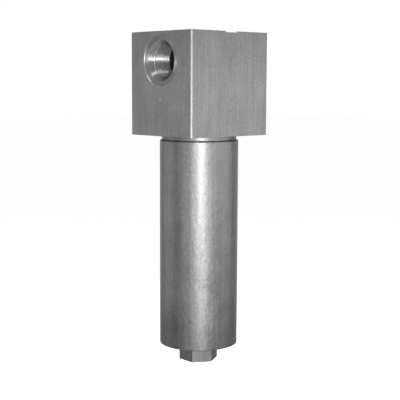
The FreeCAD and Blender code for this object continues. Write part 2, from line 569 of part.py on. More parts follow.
def bypass_cage():
    """The valve's cage: flange in the pocket, windowed wall and a roof that guides the stem."""
    flange_radius = VALVE_POCKET_DIAMETER / 2 - CAGE_FIT
    wall_radius = CAGE_DIAMETER / 2
    guide_radius = POPPET_STEM_DIAMETER / 2 + POPPET_STEM_CLEARANCE
    flange_top = VALVE_SEAT_Z + CAGE_FLANGE_THICKNESS
    cage = turned([
        (CAGE_BORE_RADIUS, VALVE_SEAT_Z), (flange_radius, VALVE_SEAT_Z), (flange_radius, flange_top),
        (wall_radius, flange_top), (wall_radius, CAGE_TOP_Z), (guide_radius, CAGE_TOP_Z),
        (guide_radius, CAGE_ROOF_Z), (CAGE_BORE_RADIUS, CAGE_ROOF_Z)])
    window = Part.makeBox(
        wall_radius + EXTRA, CAGE_WINDOW_WIDTH, CAGE_WINDOW_HEIGHT,
        Vector(0, -CAGE_WINDOW_WIDTH / 2, (flange_top + CAGE_ROOF_Z - CAGE_WINDOW_HEIGHT) / 2))
    return cage.cut([about_z(window, i * 360 / CAGE_WINDOWS) for i in range(CAGE_WINDOWS)])


def bypass_retaining_ring():
    """The open spring ring that keeps the cage in its pocket."""
    outer_radius = VALVE_POCKET_DIAMETER / 2 + RETAINING_RING_BITE - CAGE_FIT
    inner_radius = CAGE_DIAMETER / 2 + CAGE_FIT
    z_low = VALVE_SEAT_Z + CAGE_FLANGE_THICKNESS
    section = Part.Face(Part.makePolygon([
        Vector(inner_radius, 0, z_low), Vector(outer_radius, 0, z_low),
        Vector(outer_radius, 0, z_low + RETAINING_RING_THICKNESS),
        Vector(inner_radius, 0, z_low + RETAINING_RING_THICKNESS), Vector(inner_radius, 0, z_low)]))
    return section.revolve(Vector(0, 0, 0), UP, 360 - RETAINING_RING_GAP_ANGLE)


def bypass_poppet():
    """The valve's poppet: a disc on the seat with a guide stem."""
    disc_radius = CAGE_BORE_RADIUS - POPPET_CLEARANCE
    stem_radius = POPPET_STEM_DIAMETER / 2
    return turned([
        (0, VALVE_SEAT_Z), (disc_radius, VALVE_SEAT_Z), (disc_radius, POPPET_TOP_Z),
        (stem_radius, POPPET_TOP_Z), (stem_radius, CAGE_TOP_Z + POPPET_STEM_OVERHANG),
        (0, CAGE_TOP_Z + POPPET_STEM_OVERHANG)])


def bypass_spring():
    """The coil spring between the poppet and the cage's roof: a helix of short straight runs."""
    z_start = POPPET_TOP_Z + SPRING_WIRE / 2
    rise = CAGE_ROOF_Z - POPPET_TOP_Z - SPRING_WIRE
    radius = SPRING_MEAN_DIAMETER / 2
    steps = SPRING_TURNS * SPRING_STEPS_PER_TURN
    rings = []
    for step in range(steps + 1):
        turn = 2 * math.pi * step / SPRING_STEPS_PER_TURN
        outward = Vector(math.cos(turn), math.sin(turn), 0)
        middle = outward * radius + UP * (z_start + rise * step / steps)
        angles = [2 * math.pi * side / SPRING_WIRE_SIDES for side in range(SPRING_WIRE_SIDES)]
        rings.append([
            middle + outward * (SPRING_WIRE / 2 * math.cos(a)) + UP * (SPRING_WIRE / 2 * math.sin(a))
            for a in angles])
    corners = [Part.makePolygon(points + [points[0]]) for points in rings]
    faces = [Part.Face(corners[0]), Part.Face(corners[-1])]
    for low, high in zip(rings, rings[1:]):
        for side in range(SPRING_WIRE_SIDES):
            after = (side + 1) % SPRING_WIRE_SIDES
            for triangle in ((low[side], low[after], high[after]), (low[side], high[after], high[side])):
                faces.append(Part.Face(Part.makePolygon(list(triangle) + [triangle[0]])))
    coil = Part.Shell(faces)
    coil.sewShape()
    return Part.Solid(coil)


def build():
    """Every piece of the filter under its own name."""
    return {
        "head_block": head_block(),
        "indicator_plug": indicator_plug(),
        "indicator_plug_seal": indicator_plug_seal(),
        "element_spigot": element_spigot(),
        "spigot_washer": spigot_washer(),
        "element_o_ring": element_o_ring(),
        "element_top_cap": element_top_cap(),
        "element_core_tube": element_core_tube(),
        "pleated_media": pleated_media(),
        "seam_clip": seam_clip(),
        "element_bottom_cap": element_bottom_cap(),
        "bypass_cage": bypass_cage(),
        "bypass_retaining_ring": bypass_retaining_ring(),
        "bypass_poppet": bypass_poppet(),
        "bypass_spring": bypass_spring(),
        "bowl": bowl(),
        "bowl_o_ring": bowl_o_ring(),
        "bowl_backup_ring": bowl_backup_ring(),
        "drain_plug": drain_plug(),
        "drain_seal": drain_seal(),
    }


os.makedirs("parts", exist_ok=True)
for name, shape in build().items():
    shape.exportStep("parts/" + name + ".step")
    print(name, "valid" if shape.isValid() else "not valid", len(shape.Solids), round(shape.Volume, 1))
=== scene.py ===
# Hydraulic pressure filter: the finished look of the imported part, in its own frame, in metres.
# The head and the bowl get real threads, and the soft seals, the pleats and the spring get smooth forms.
import json
import math

import bmesh
import bpy
from mathutils import Matrix, Vector


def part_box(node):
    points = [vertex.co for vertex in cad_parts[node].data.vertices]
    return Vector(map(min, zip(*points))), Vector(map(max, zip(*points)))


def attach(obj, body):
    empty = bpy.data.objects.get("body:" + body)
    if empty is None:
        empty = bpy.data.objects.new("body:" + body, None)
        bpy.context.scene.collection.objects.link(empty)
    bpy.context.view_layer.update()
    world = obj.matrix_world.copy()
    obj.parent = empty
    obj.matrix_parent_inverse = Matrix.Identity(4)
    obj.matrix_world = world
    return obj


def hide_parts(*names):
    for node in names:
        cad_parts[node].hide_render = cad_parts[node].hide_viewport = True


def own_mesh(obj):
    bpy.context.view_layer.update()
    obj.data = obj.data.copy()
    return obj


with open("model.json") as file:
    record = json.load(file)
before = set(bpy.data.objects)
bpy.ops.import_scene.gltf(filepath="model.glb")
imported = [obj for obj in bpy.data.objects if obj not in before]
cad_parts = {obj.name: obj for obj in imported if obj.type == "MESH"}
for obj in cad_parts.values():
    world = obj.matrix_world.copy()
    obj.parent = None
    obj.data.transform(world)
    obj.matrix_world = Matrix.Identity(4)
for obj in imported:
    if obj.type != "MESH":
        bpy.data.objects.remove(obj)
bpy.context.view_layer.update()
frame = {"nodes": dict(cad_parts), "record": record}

# Sizes in millimetres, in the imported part's frame
MM = 0.001
REACH = 1.0                    # how far a cutter goes past the surface that it opens

# The head's block
HEAD_LENGTH = 100.0
HEAD_WIDTH = 90.0
HEAD_HEIGHT = 100.0
HEAD_CHAMFER = 1.25
HEAD_EDGE_BREAK = 0.15
TOP_RECESS_RADIUS = 45.55
TOP_RECESS_DEPTH = 1.15
PUNCH_MARK_RADIUS = 2.5
PUNCH_MARK_DEPTH = 0.25
PUNCH_MARK_Z = -64.5
MOUNT_HALF_X = 39.0
MOUNT_HALF_Y = 36.0
MOUNT_HOLE_RADIUS = 5.0
MOUNT_HOLE_DEPTH = 16.0
MOUNT_HOLE_CHAMFER = 0.5

# The two ports, from the face inwards
PORT_Z = -27.8
PORT_SPOTFACE_RADIUS = 24.4
PORT_SPOTFACE_DEPTH = 0.5
PORT_SPOTFACE_FILLET = 0.15
PORT_RIM_BREAK = 0.33
PORT_CONE_RADIUS = 20.0
PORT_CONE_BREAK = 0.2
PORT_CONE_ANGLE = 45.0
PORT_LIP_RADIUS = 1.1
PORT_PITCH = 2.309             # eleven threads to the inch
PORT_MAJOR_RADIUS = 16.625
PORT_MINOR_RADIUS = 15.146
PORT_THREAD_GAP = 0.2          # between the lip and the thread's start
PORT_THREAD_RISE = 2.5         # how steeply the thread starts
PORT_THREAD_STEPS = 104
PORT_THREAD_END = 25.3
PORT_RELIEF_RADIUS = 17.3
PORT_RELIEF_END = 28.3
PORT_CONE_BOTTOM_Z = -PORT_SPOTFACE_DEPTH - (PORT_CONE_RADIUS - PORT_MINOR_RADIUS)
PORT_FLANK_START = 6.3         # from the face, where the port's thread has its full height

# The passages in the head
GALLERY_RADIUS = 14.0
INLET_GALLERY_X = -16.0
OUTLET_GALLERY_X = -9.5
RISER_RADIUS = 9.5
NOSE_SOCKET_RADIUS = 12.1
NOSE_SOCKET_TOP = -46.0
DROP_RADIUS = 6.5
DROP_DISTANCE = 21.5
DROP_HALF_ANGLE = 20.7
INDICATOR_X = -12.5
INDICATOR_RADIUS = 10.48
INDICATOR_DEPTH = 14.0
SENSE_RADIUS = 2.0
SENSE_HALF_SPACING = 7.0

# The bore that the bowl screws into, from the mouth upwards
MOUTH_Z = -HEAD_HEIGHT
THREAD_TOP_Z = MOUTH_Z + 19.0
SEAT_Z = THREAD_TOP_Z + 15.0
CEILING_Z = SEAT_Z + 8.0
MOUTH_CHAMFER = 1.0
CHAMBER_RADIUS = 29.0
SEAL_BORE_RADIUS = 35.55
SEAL_BORE_LEAD = 0.6
BOWL_PITCH = 2.0
BOWL_MAJOR_RADIUS = 38.0
BOWL_MINOR_RADIUS = 36.77
BOWL_THREAD_CLEARANCE = 0.12
BOWL_THREAD_RISE = 1.2
BOWL_THREAD_STEPS = 110
FLANK_MARGIN = 0.1             # round the flanks of a thread

# The bowl
LAND_RADIUS = 35.45
SHELF_Z = SEAT_Z - 4.25
RIM_RADIUS = 32.8
RIM_CHAMFER = 0.8
NECK_RADIUS = 37.0
NECK_BOTTOM_Z = MOUTH_Z - 4.0
BODY_RADIUS = 39.0
SHOULDER_RADIUS = BODY_RADIUS - NECK_RADIUS
BOWL_BOTTOM_Z = MOUTH_Z - 210.0
BOWL_BOTTOM_BREAK = 0.5
BORE_RADIUS = 29.0
BORE_CHAMFER = 0.4
SHELF_BREAK = 0.3
BOWL_FLOOR_Z = BOWL_BOTTOM_Z + 18.0
FLOOR_FILLET = 4.0
HEX_FLATS = 34.0
HEX_BOTTOM_Z = BOWL_BOTTOM_Z - 17.5
HEX_EDGE_BREAK = 0.2
HEX_OVERLAP = 2.0              # how far the hexagon reaches up into the bowl's bottom
DRAIN_SPOTFACE_RADIUS = 10.5
DRAIN_SPOTFACE_CHAMFER = 0.3
DRAIN_FACE_Z = HEX_BOTTOM_Z + 5.0
DRAIN_RADIUS = 6.58
DRAIN_THREAD_TOP_Z = DRAIN_FACE_Z + 11.5
DRAIN_PASSAGE_RADIUS = 3.0
SUPPORT_GAP = 0.3              # a narrow row of faces beside a long one, which keeps its shading straight

# The pleated sheet and the valve's spring
PLEATS = 48
PLEAT_OUTER_RADIUS = 23.3
PLEAT_INNER_RADIUS = 14.0
PLEAT_SHEET = 0.55
PLEAT_TIP_RADIUS = 0.68
PLEAT_ROOT_RADIUS = 0.45
PLEAT_TOP_Z = -76.0
PLEAT_BOTTOM_Z = PLEAT_TOP_Z - 205.0
SPRING_BOTTOM_Z = -276.0
SPRING_TOP_Z = SPRING_BOTTOM_Z + 20.0
SPRING_RADIUS = 6.0
SPRING_WIRE_RADIUS = 0.6
SPRING_TURNS = 5

# Facets around each round form
TOP_RECESS_FACETS = 240
BOWL_FACETS = 192
BOWL_CAVITY_FACETS = 180
PORT_FACETS = 168
BORE_FACETS = 144
RING_FACETS = 144
WIDE_HOLE_FACETS = 96
HOLE_FACETS = 64
SMALL_HOLE_FACETS = 48
SENSE_FACETS = 32
COIL_FACETS = 40
RING_SECTION_FACETS = 20
WIRE_FACETS = 12

# The camera, fitted to the photograph, and the studio, in degrees and metres
CAMERA_AZIMUTH = -42.010
CAMERA_PITCH = 6.913
CAMERA_ROLL = 0.223
CAMERA_PLACE = (-0.646175, -0.719153, -0.048186)
CAMERA_FOCAL_SHARE = 2.430275  # focal length over the frame's width
SENSOR_WIDTH = 36.0
CLIP_END = 100.0
FLOOR_Z = -0.62
FLOOR_SIZE = 24.0
FLOOR_GLOW = 0.80              # what the floor adds to its own colour where the camera sees it
FLOOR_GLOW_START = 1.3         # reflections see the glow too, from here to the end of its rise
FLOOR_GLOW_FULL = 2.3
WORLD_LIGHT = 0.2
LIGHT_TARGET_Z = -0.1

# Softboxes: name, degrees right of the camera, distance, degrees below level, width, height, radiance
LIGHTS = (
    ("key_light", 7.0, 1.10, 2.0, 0.42, 0.17, 30.5),
    ("right_of_key", 26.5, 1.15, 7.0, 0.40, 0.42, 4.5),
    ("left_of_key", -12.0, 1.15, 7.5, 0.38, 0.44, 4.5),
    ("side_light", 48.0, 1.20, 5.7, 0.50, 0.40, 2.3),
    ("far_side_light", 68.0, 1.30, 3.0, 0.50, 0.40, 1.4),
    ("right_light", 88.0, 1.90, 1.5, 1.20, 0.62, 1.48),
    ("fill_light", -38.0, 1.30, 8.0, 0.60, 0.44, 1.4),
    ("left_light", -98.0, 1.60, 9.0, 0.90, 0.50, 0.62),
    ("top_light", -38.0, 0.62, -58.0, 0.26, 0.26, 8.0),
    ("low_light", 10.0, 0.90, 29.0, 0.11, 0.14, 17.0),
    ("back_light", 180.0, 1.40, -24.0, 1.00, 1.00, 4.0))

# The head's finish by zone: shade, roughness, and how far its grain stretches a highlight
HEAD_FINISH = {
    "face": (0.20, 0.50, 0.0),
    # Painted reflection: the punch mark is lighter in place of the light its dimple reflects.
    "mark": (0.26, 0.50, 0.0),
    # Painted highlight: the rim's broken edge is lighter so that its glint shows brighter.
    "rim": (0.40, 0.25, 0.0),
    "ring": (0.225, 0.55, 0.95),
    "cone": (0.16, 0.28, 0.85),
    # Painted highlight: the lip is far lighter so that its rounded edge glints brighter.
    "lip": (0.80, 0.28, 0.3),
    # Lighter partly as freshly cut metal, partly as painted light that lifts the shade inside the port.
    "thread": (0.40, 0.42, 0.95),
    # Painted shade: the deep passages are darkened where little light reaches.
    "passage": (0.12, 0.50, 0.0),
    # Lighter partly as freshly cut metal, partly as painted light that lifts the shade inside the bores.
    "cut": (0.42, 0.28, 0.0)}
# Painted light: the cone is made lighter toward its top, where it mirrors dark surroundings.
CONE_TOP_PAINTED_LIGHT = 2.2            # how much lighter the cone is toward its top
# Painted shade: the head's upper half is made darker toward its top.
HEAD_TOP_PAINTED_SHADE = 0.87           # and the head's upper half

# The bowl's finish
BOWL_SHADE = 0.15
# Painted shade: the bowl is darkened toward its foot, between the start and full heights below.
BOWL_FOOT_PAINTED_SHADE = 0.116
BOWL_FOOT_START_Z = -255.0
BOWL_FOOT_FULL_Z = -290.0
# Painted light: the shoulder under the neck is lightened where it mirrors the dark underside of the head.
SHOULDER_PAINTED_LIGHT = 0.5
BOWL_CUT_SHADE = 0.30
HEX_SHADE = 0.17
BOWL_ROUGHNESS = 0.36
HEX_ROUGHNESS = 0.52
BOWL_GRAIN = 0.5
BOWL_WAVE = 0.22               # depth of the shallow unevenness left by hand polishing


def new_object(name, data):
    """An object for a finished mesh, light or camera, in the scene."""
    obj = bpy.data.objects.new(name, data)
    bpy.context.scene.collection.objects.link(obj)
    return obj


def mesh_from(name, points, faces):
    """A mesh from points in millimetres."""
    mesh = bpy.data.meshes.new(name)
    mesh.from_pydata([tuple(c * MM for c in p) for p in points], [], faces)
    mesh.validate()
    return mesh


def arc(degrees, steps):
    """Angles in radians from zero to a number of degrees."""
    return [math.radians(degrees * i / steps) for i in range(steps + 1)]


def crisp(obj, degrees=30.0, soft=None):
    """Smooth faces with sharp edges where the surface turns.
    soft is a test of a place in millimetres, and edges that pass it stay smooth."""
    work = bmesh.new()
    work.from_mesh(obj.data)
    bmesh.ops.recalc_face_normals(work, faces=work.faces)
    limit = math.radians(degrees)
    for edge in work.edges:
        middle = (edge.verts[0].co + edge.verts[1].co) / 2 / MM
        edge.smooth = len(edge.link_faces) == 2 and (
            edge.calc_face_angle(0.0) < limit or (soft is not None and soft(middle)))
    for face in work.faces:
        face.smooth = True
    work.to_mesh(obj.data)
    work.free()
    return obj


def lathe(name, stations, segments):
    """A closed turned solid about Z from stations (z, radius), where a radius may be a function of the angle.
    The first and last stations are closed with flat ends."""
    points = []
    for z, radius in stations:
        for i in range(segments):
            a = 2 * math.pi * i / segments
            r = radius(a) if callable(radius) else radius
            points.append((r * math.cos(a), r * math.sin(a), z))
    faces = []
    for row in range(len(stations) - 1):
        for i in range(segments):
            j = (i + 1) % segments
            low = row * segments
            high = low + segments
            faces.append((low + i, low + j, high + j, high + i))
    faces.append(tuple(reversed(range(segments))))
    top = (len(stations) - 1) * segments
    faces.append(tuple(range(top, top + segments)))
    return new_object(name, mesh_from(name, points, faces))


def thread_shape(z, angle, pitch):
    """How far a right-hand thread's surface stands between its minor (0) and major (1) radius.
    The limits leave a flat on each crest and in each root, with straight flanks between."""
    turn = (z / pitch - angle / (2 * math.pi)) % 1.0
    return min(max(1.25 * abs(2 * turn - 1) - 0.125, 0.0), 1.0)


def thread_radius(z, minor, major, pitch, least=None, most=None):
    """The radius of a threaded surface at one height, as a function of the angle, within two limits."""
    def radius(angle):
        r = minor + (major - minor) * thread_shape(z, angle, pitch)
        if least is not None:
            r = max(r, least)
        if most is not None:
            r = min(r, most)
        return r
    return radius


def thread_stations(z_low, z_high, steps, minor, major, pitch, least=None, most=None):
    """Stations along a thread. least and most give the limits at a height."""
    stations = []
    for i in range(steps + 1):
        z = z_low + (z_high - z_low) * i / steps
        low = None if least is None else least(z)
        high = None if most is None else most(z)
        stations.append((z, thread_radius(z, minor, major, pitch, low, high)))
    return stations


def bevelled(obj, width, degrees):
    """Rounds the edges of a mesh that turn by more than some degrees, width in millimetres."""
    work = bmesh.new()
    work.from_mesh(obj.data)
    bmesh.ops.recalc_face_normals(work, faces=work.faces)
    limit = math.radians(degrees)
    edges = [e for e in work.edges if len(e.link_faces) == 2 and e.calc_face_angle(0.0) > limit]
    bmesh.ops.bevel(
        work, geom=edges, offset=width * MM, segments=2, profile=0.5, affect="EDGES", clamp_overlap=True)
    work.to_mesh(obj.data)
    work.free()
    return obj


def combine(obj, others, operation="DIFFERENCE"):
    """Cuts the other meshes out of obj, or joins them to it, and removes them."""
    for other in others:
        modifier = obj.modifiers.new("combine", "BOOLEAN")
        modifier.operation = operation
        modifier.solver = "EXACT"
        modifier.object = other
        bpy.context.view_layer.update()
        graph = bpy.context.evaluated_depsgraph_get()
        mesh = bpy.data.meshes.new_from_object(obj.evaluated_get(graph))
        obj.modifiers.clear()
        old = obj.data
        obj.data = mesh
        bpy.data.meshes.remove(old)
        bpy.data.objects.remove(other)
    return obj


def turned_to(obj, matrix):
    """Applies a placement to the mesh itself."""
    obj.data.transform(matrix)
    return obj


def facing(x, y, z, axis, degrees):
    """A placement: turn an upright tool about an axis, then move it, in millimetres."""
    return Matrix.Translation(Vector((x, y, z)) * MM) @ Matrix.Rotation(math.radians(degrees), 4, axis)


def port_wall():
    """The port's wall from its thread out to the face: land, rounded lip, cone, spotface and broken edges."""
    lip_z = PORT_CONE_BOTTOM_Z - PORT_LIP_RADIUS * math.tan(math.radians(PORT_CONE_ANGLE / 2))
    wall = [(
        lip_z + PORT_LIP_RADIUS * math.sin(a),
        PORT_MINOR_RADIUS + PORT_LIP_RADIUS * (1 - math.cos(a))) for a in arc(PORT_CONE_ANGLE, 6)]
    floor, cone, edge = -PORT_SPOTFACE_DEPTH, PORT_CONE_RADIUS, PORT_SPOTFACE_RADIUS
    b, f, r = PORT_CONE_BREAK, PORT_SPOTFACE_FILLET, PORT_RIM_BREAK
    wall += [(floor - b, cone - b), (floor - 0.35 * b, cone - 0.15 * b), (floor, cone + b)]
    wall += [(floor, edge - f), (floor + 0.27 * f, edge - 0.27 * f), (floor + 0.8 * f, edge)]
    wall += [(-r, edge), (-0.85 * r, edge + 0.06 * r), (-0.15 * r, edge + 0.76 * r)]
    wall += [(0.0, edge + 1.12 * r), (REACH, edge + 1.12 * r + REACH)]
    return wall


def port_cutter(name, gallery_depth):
    """One port's whole cavity, upright with its face at z = 0: spotface, cone, thread, relief and gallery."""
    wall = port_wall()
    thread_start = wall[0][0] - PORT_THREAD_GAP
    stations = [(-gallery_depth, GALLERY_RADIUS), (-PORT_RELIEF_END, GALLERY_RADIUS)]
    stations += [(-PORT_RELIEF_END, PORT_RELIEF_RADIUS), (-PORT_THREAD_END, PORT_RELIEF_RADIUS)]

    def start(z):
        return PORT_MINOR_RADIUS + max(0.0, thread_start - z) * PORT_THREAD_RISE

    stations += thread_stations(
        -PORT_THREAD_END, thread_start, PORT_THREAD_STEPS, PORT_MINOR_RADIUS, PORT_MAJOR_RADIUS, PORT_PITCH,
        most=start)
    return lathe(name, stations + wall, PORT_FACETS)


def bowl_cavity_cutter():
    """The stepped and threaded bore in the head's underside."""
    mouth_radius = BOWL_MAJOR_RADIUS + MOUTH_CHAMFER

    def mouth_cone(z):
        return mouth_radius - (z - MOUTH_Z)

    stations = [(MOUTH_Z - REACH, mouth_radius)]
    stations += thread_stations(
        MOUTH_Z, THREAD_TOP_Z, BOWL_THREAD_STEPS, BOWL_MINOR_RADIUS, BOWL_MAJOR_RADIUS, BOWL_PITCH,
        least=mouth_cone)
    stations += [
        (THREAD_TOP_Z, SEAL_BORE_RADIUS + SEAL_BORE_LEAD), (THREAD_TOP_Z + SEAL_BORE_LEAD, SEAL_BORE_RADIUS),
        (SEAT_Z, SEAL_BORE_RADIUS), (SEAT_Z, CHAMBER_RADIUS), (CEILING_Z, CHAMBER_RADIUS)]
    return lathe("bowl_cavity", stations, BOWL_CAVITY_FACETS)


def bore_cutter(name, low, high, radius, facets):
    """A plain upright bore between two heights."""
    return lathe(name, [(low, radius), (high, radius)], facets)


def inlet_drop_cutters():
    """The two bores that take the oil from the inlet down to the chamber."""
    drops = []
    for side in (-1, 1):
        angle = math.radians(180 + side * DROP_HALF_ANGLE)
        drop = bore_cutter("drop", CEILING_Z - REACH, PORT_Z, DROP_RADIUS, HOLE_FACETS)
        place = facing(DROP_DISTANCE * math.cos(angle), DROP_DISTANCE * math.sin(angle), 0, "Z", 0)
        drops.append(turned_to(drop, place))
    return drops


def punch_mark_cutter():
    """The shallow dimple below the inlet."""
    d, r = PUNCH_MARK_DEPTH, PUNCH_MARK_RADIUS
    mark = lathe("punch_mark", [
        (-d, 0.3 * r), (-0.8 * d, 0.6 * r), (-0.4 * d, 0.92 * r), (0.0, r),
        (REACH, r + REACH)], SMALL_HOLE_FACETS)
    return turned_to(mark, facing(-HEAD_LENGTH / 2, 0, PUNCH_MARK_Z, "Y", -90))


def indicator_cutters():
    """The indicator's bore in the back face and the two fine bores from it to the galleries."""
    back = HEAD_WIDTH / 2
    port = bore_cutter("indicator_bore", -INDICATOR_DEPTH, REACH, INDICATOR_RADIUS, WIDE_HOLE_FACETS)
    cutters = [turned_to(port, facing(INDICATOR_X, back, PORT_Z, "X", -90))]
    for side in (-1, 1):
        sense = bore_cutter("sense", -back, REACH - INDICATOR_DEPTH, SENSE_RADIUS, SENSE_FACETS)
        place = facing(INDICATOR_X + side * SENSE_HALF_SPACING, back, PORT_Z, "X", -90)
        cutters.append(turned_to(sense, place))
    return cutters


def mount_hole_cutters():
    """The four mounting holes in the top, each with a chamfer."""
    r, c = MOUNT_HOLE_RADIUS, MOUNT_HOLE_CHAMFER
    stations = [(-MOUNT_HOLE_DEPTH, r), (-c, r), (0.0, r + c), (REACH, r + c + REACH)]
    holes = []
    for sx in (-1, 1):
        for sy in (-1, 1):
            hole = lathe("mount_hole", stations, SMALL_HOLE_FACETS)
            holes.append(turned_to(hole, facing(sx * MOUNT_HALF_X, sy * MOUNT_HALF_Y, 0, "Z", 0)))
    return holes


def head_cutters():
    """Everything that is machined out of the head, in the order of the cuts."""
    half = HEAD_LENGTH / 2
    below = CEILING_Z - REACH
    inlet = port_cutter("inlet_cavity", half + INLET_GALLERY_X)
    outlet = port_cutter("outlet_cavity", half - OUTLET_GALLERY_X)
    return [
        turned_to(inlet, facing(-half, 0, PORT_Z, "Y", -90)),
        turned_to(outlet, facing(half, 0, PORT_Z, "Y", 90)),
        bowl_cavity_cutter(),
        bore_cutter("nose_socket", below, NOSE_SOCKET_TOP, NOSE_SOCKET_RADIUS, WIDE_HOLE_FACETS),
        bore_cutter("riser", below, PORT_Z, RISER_RADIUS, WIDE_HOLE_FACETS),
        bore_cutter("top_recess", -TOP_RECESS_DEPTH, REACH, TOP_RECESS_RADIUS, TOP_RECESS_FACETS),
        *inlet_drop_cutters(), punch_mark_cutter(), *indicator_cutters(), *mount_hole_cutters()]


def head_blank():
    """The square block with its four broken upright edges."""
    x, y, c = HEAD_LENGTH / 2, HEAD_WIDTH / 2, HEAD_CHAMFER
    outline = [
        (-x + c, -y), (x - c, -y), (x, -y + c), (x, y - c),
        (x - c, y), (-x + c, y), (-x, y - c), (-x, -y + c)]
    points = [(px, py, z) for z in (MOUTH_Z, 0.0) for px, py in outline]
    count = len(outline)
    faces = [(i, (i + 1) % count, count + (i + 1) % count, count + i) for i in range(count)]
    faces += [tuple(reversed(range(count))), tuple(range(count, 2 * count))]
    blank = new_object("machined_head", mesh_from("machined_head", points, faces))
    return bevelled(blank, HEAD_EDGE_BREAK, 60.0)


def on_a_head_thread(place):
    """True on the flanks of the port threads and of the bowl's thread in the head."""
    from_port = math.hypot(place.y, place.z - PORT_Z)
    if PORT_THREAD_END - 2 * FLANK_MARGIN > HEAD_LENGTH / 2 - abs(place.x) > PORT_FLANK_START:
        return PORT_MINOR_RADIUS - FLANK_MARGIN < from_port < PORT_MAJOR_RADIUS + FLANK_MARGIN
    from_middle = math.hypot(place.x, place.y)
    at_height = MOUTH_Z + 4 * FLANK_MARGIN < place.z < THREAD_TOP_Z - 2 * FLANK_MARGIN
    return at_height and BOWL_MINOR_RADIUS - FLANK_MARGIN < from_middle < BOWL_MAJOR_RADIUS + FLANK_MARGIN


def on_the_bowl_thread(place):
    """True on the flanks of the bowl's own thread."""
    from_middle = math.hypot(place.x, place.y)
    top = THREAD_TOP_Z - RIM_CHAMFER - 2 * FLANK_MARGIN
    return MOUTH_Z + 4 * FLANK_MARGIN < place.z < top and from_middle > BOWL_MINOR_RADIUS - 3 * FLANK_MARGIN


def make_head(material):
    """The head with its threads."""
    head = crisp(combine(head_blank(), head_cutters()), 20.0, on_a_head_thread)
    head.data.materials.clear()
    head.data.materials.append(material)
    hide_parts("head_block")
    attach(head, "head")


def bowl_thread_stations():
    """The bowl's thread, which fades in above the neck and out below the rim."""
    minor = BOWL_MINOR_RADIUS - BOWL_THREAD_CLEARANCE
    major = BOWL_MAJOR_RADIUS - BOWL_THREAD_CLEARANCE
    top = THREAD_TOP_Z - RIM_CHAMFER

    def limit(z):
        return min(minor + max(0.0, min(top - z, z - MOUTH_Z)) * BOWL_THREAD_RISE, major)

    return thread_stations(MOUTH_Z, top, BOWL_THREAD_STEPS, minor, major, BOWL_PITCH, most=limit)


def bowl_outside():
    """The bowl's outside from its flat bottom up to its rim, as one turned solid."""
    b, e = SHELF_BREAK, BOWL_BOTTOM_BREAK
    shoulder_z = NECK_BOTTOM_Z - SHOULDER_RADIUS
    stations = [
        (BOWL_BOTTOM_Z, BODY_RADIUS - e), (BOWL_BOTTOM_Z + 0.3 * e, BODY_RADIUS - 0.3 * e),
        (BOWL_BOTTOM_Z + e, BODY_RADIUS), (BOWL_BOTTOM_Z + e + SUPPORT_GAP, BODY_RADIUS),
        (shoulder_z - SUPPORT_GAP, BODY_RADIUS)]
    for a in arc(90, 8):
        across, up = SHOULDER_RADIUS * math.cos(a), SHOULDER_RADIUS * math.sin(a)
        stations.append((shoulder_z + up, NECK_RADIUS + across))
    stations += [(NECK_BOTTOM_Z + 0.01, NECK_RADIUS), (MOUTH_Z - 0.2, NECK_RADIUS)]
    stations += bowl_thread_stations()
    stations += [
        (THREAD_TOP_Z - RIM_CHAMFER, LAND_RADIUS), (SHELF_Z - b, LAND_RADIUS), (SHELF_Z, LAND_RADIUS - b),
        (SHELF_Z, RIM_RADIUS), (SEAT_Z - RIM_CHAMFER, RIM_RADIUS), (SEAT_Z, RIM_RADIUS - RIM_CHAMFER)]
    return lathe("turned_bowl", stations, BOWL_FACETS)


def bowl_inside():
    """The bowl's bore with the fillet round its floor."""
    f, c = FLOOR_FILLET, BORE_CHAMFER
    stations = [
        (BOWL_FLOOR_Z + f * (1 - math.cos(a)), BORE_RADIUS - f * (1 - math.sin(a))) for a in arc(90, 8)]
    stations += [
        (SEAT_Z - c, BORE_RADIUS), (SEAT_Z, BORE_RADIUS + c), (SEAT_Z + REACH, BORE_RADIUS + c + REACH)]
    return lathe("bowl_bore", stations, BORE_FACETS)


def hex_blank():
    """The wrench hexagon under the bowl, with its lower edge broken."""
    sides = 6
    radius = HEX_FLATS / math.sqrt(3)
    angles = [math.radians(30 + 360 / sides * i) for i in range(sides)]
    rows = (
        (HEX_BOTTOM_Z, radius - HEX_EDGE_BREAK), (HEX_BOTTOM_Z + HEX_EDGE_BREAK, radius),
        (BOWL_BOTTOM_Z + HEX_OVERLAP, radius))
    points = [(r * math.cos(a), r * math.sin(a), z) for z, r in rows for a in angles]
    faces = []
    for low in (0, sides):
        for i in range(sides):
            j = (i + 1) % sides
            faces.append((low + i, low + j, low + sides + j, low + sides + i))
    faces += [tuple(reversed(range(sides))), tuple(range(2 * sides, 3 * sides))]
    return new_object("hex", mesh_from("hex", points, faces))


def drain_cutter():
    """The drain port's spotface, threaded bore and passage, up into the bowl."""
    c = DRAIN_SPOTFACE_CHAMFER
    return lathe("drain", [
        (HEX_BOTTOM_Z - REACH, DRAIN_SPOTFACE_RADIUS + c + REACH), (HEX_BOTTOM_Z + c, DRAIN_SPOTFACE_RADIUS),
        (DRAIN_FACE_Z, DRAIN_SPOTFACE_RADIUS), (DRAIN_FACE_Z, DRAIN_RADIUS),
        (DRAIN_THREAD_TOP_Z, DRAIN_RADIUS), (DRAIN_THREAD_TOP_Z, DRAIN_PASSAGE_RADIUS),
        (BOWL_FLOOR_Z + REACH, DRAIN_PASSAGE_RADIUS)], HOLE_FACETS)


def make_bowl(material):
    """The bowl with its thread, its wrench hexagon and the drain port."""
    bowl = combine(bowl_outside(), [hex_blank()], "UNION")
    bowl = crisp(combine(bowl, [bowl_inside(), drain_cutter()]), 30.0, on_the_bowl_thread)
    bowl.data.materials.clear()
    bowl.data.materials.append(material)
    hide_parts("bowl")
    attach(bowl, "bowl")


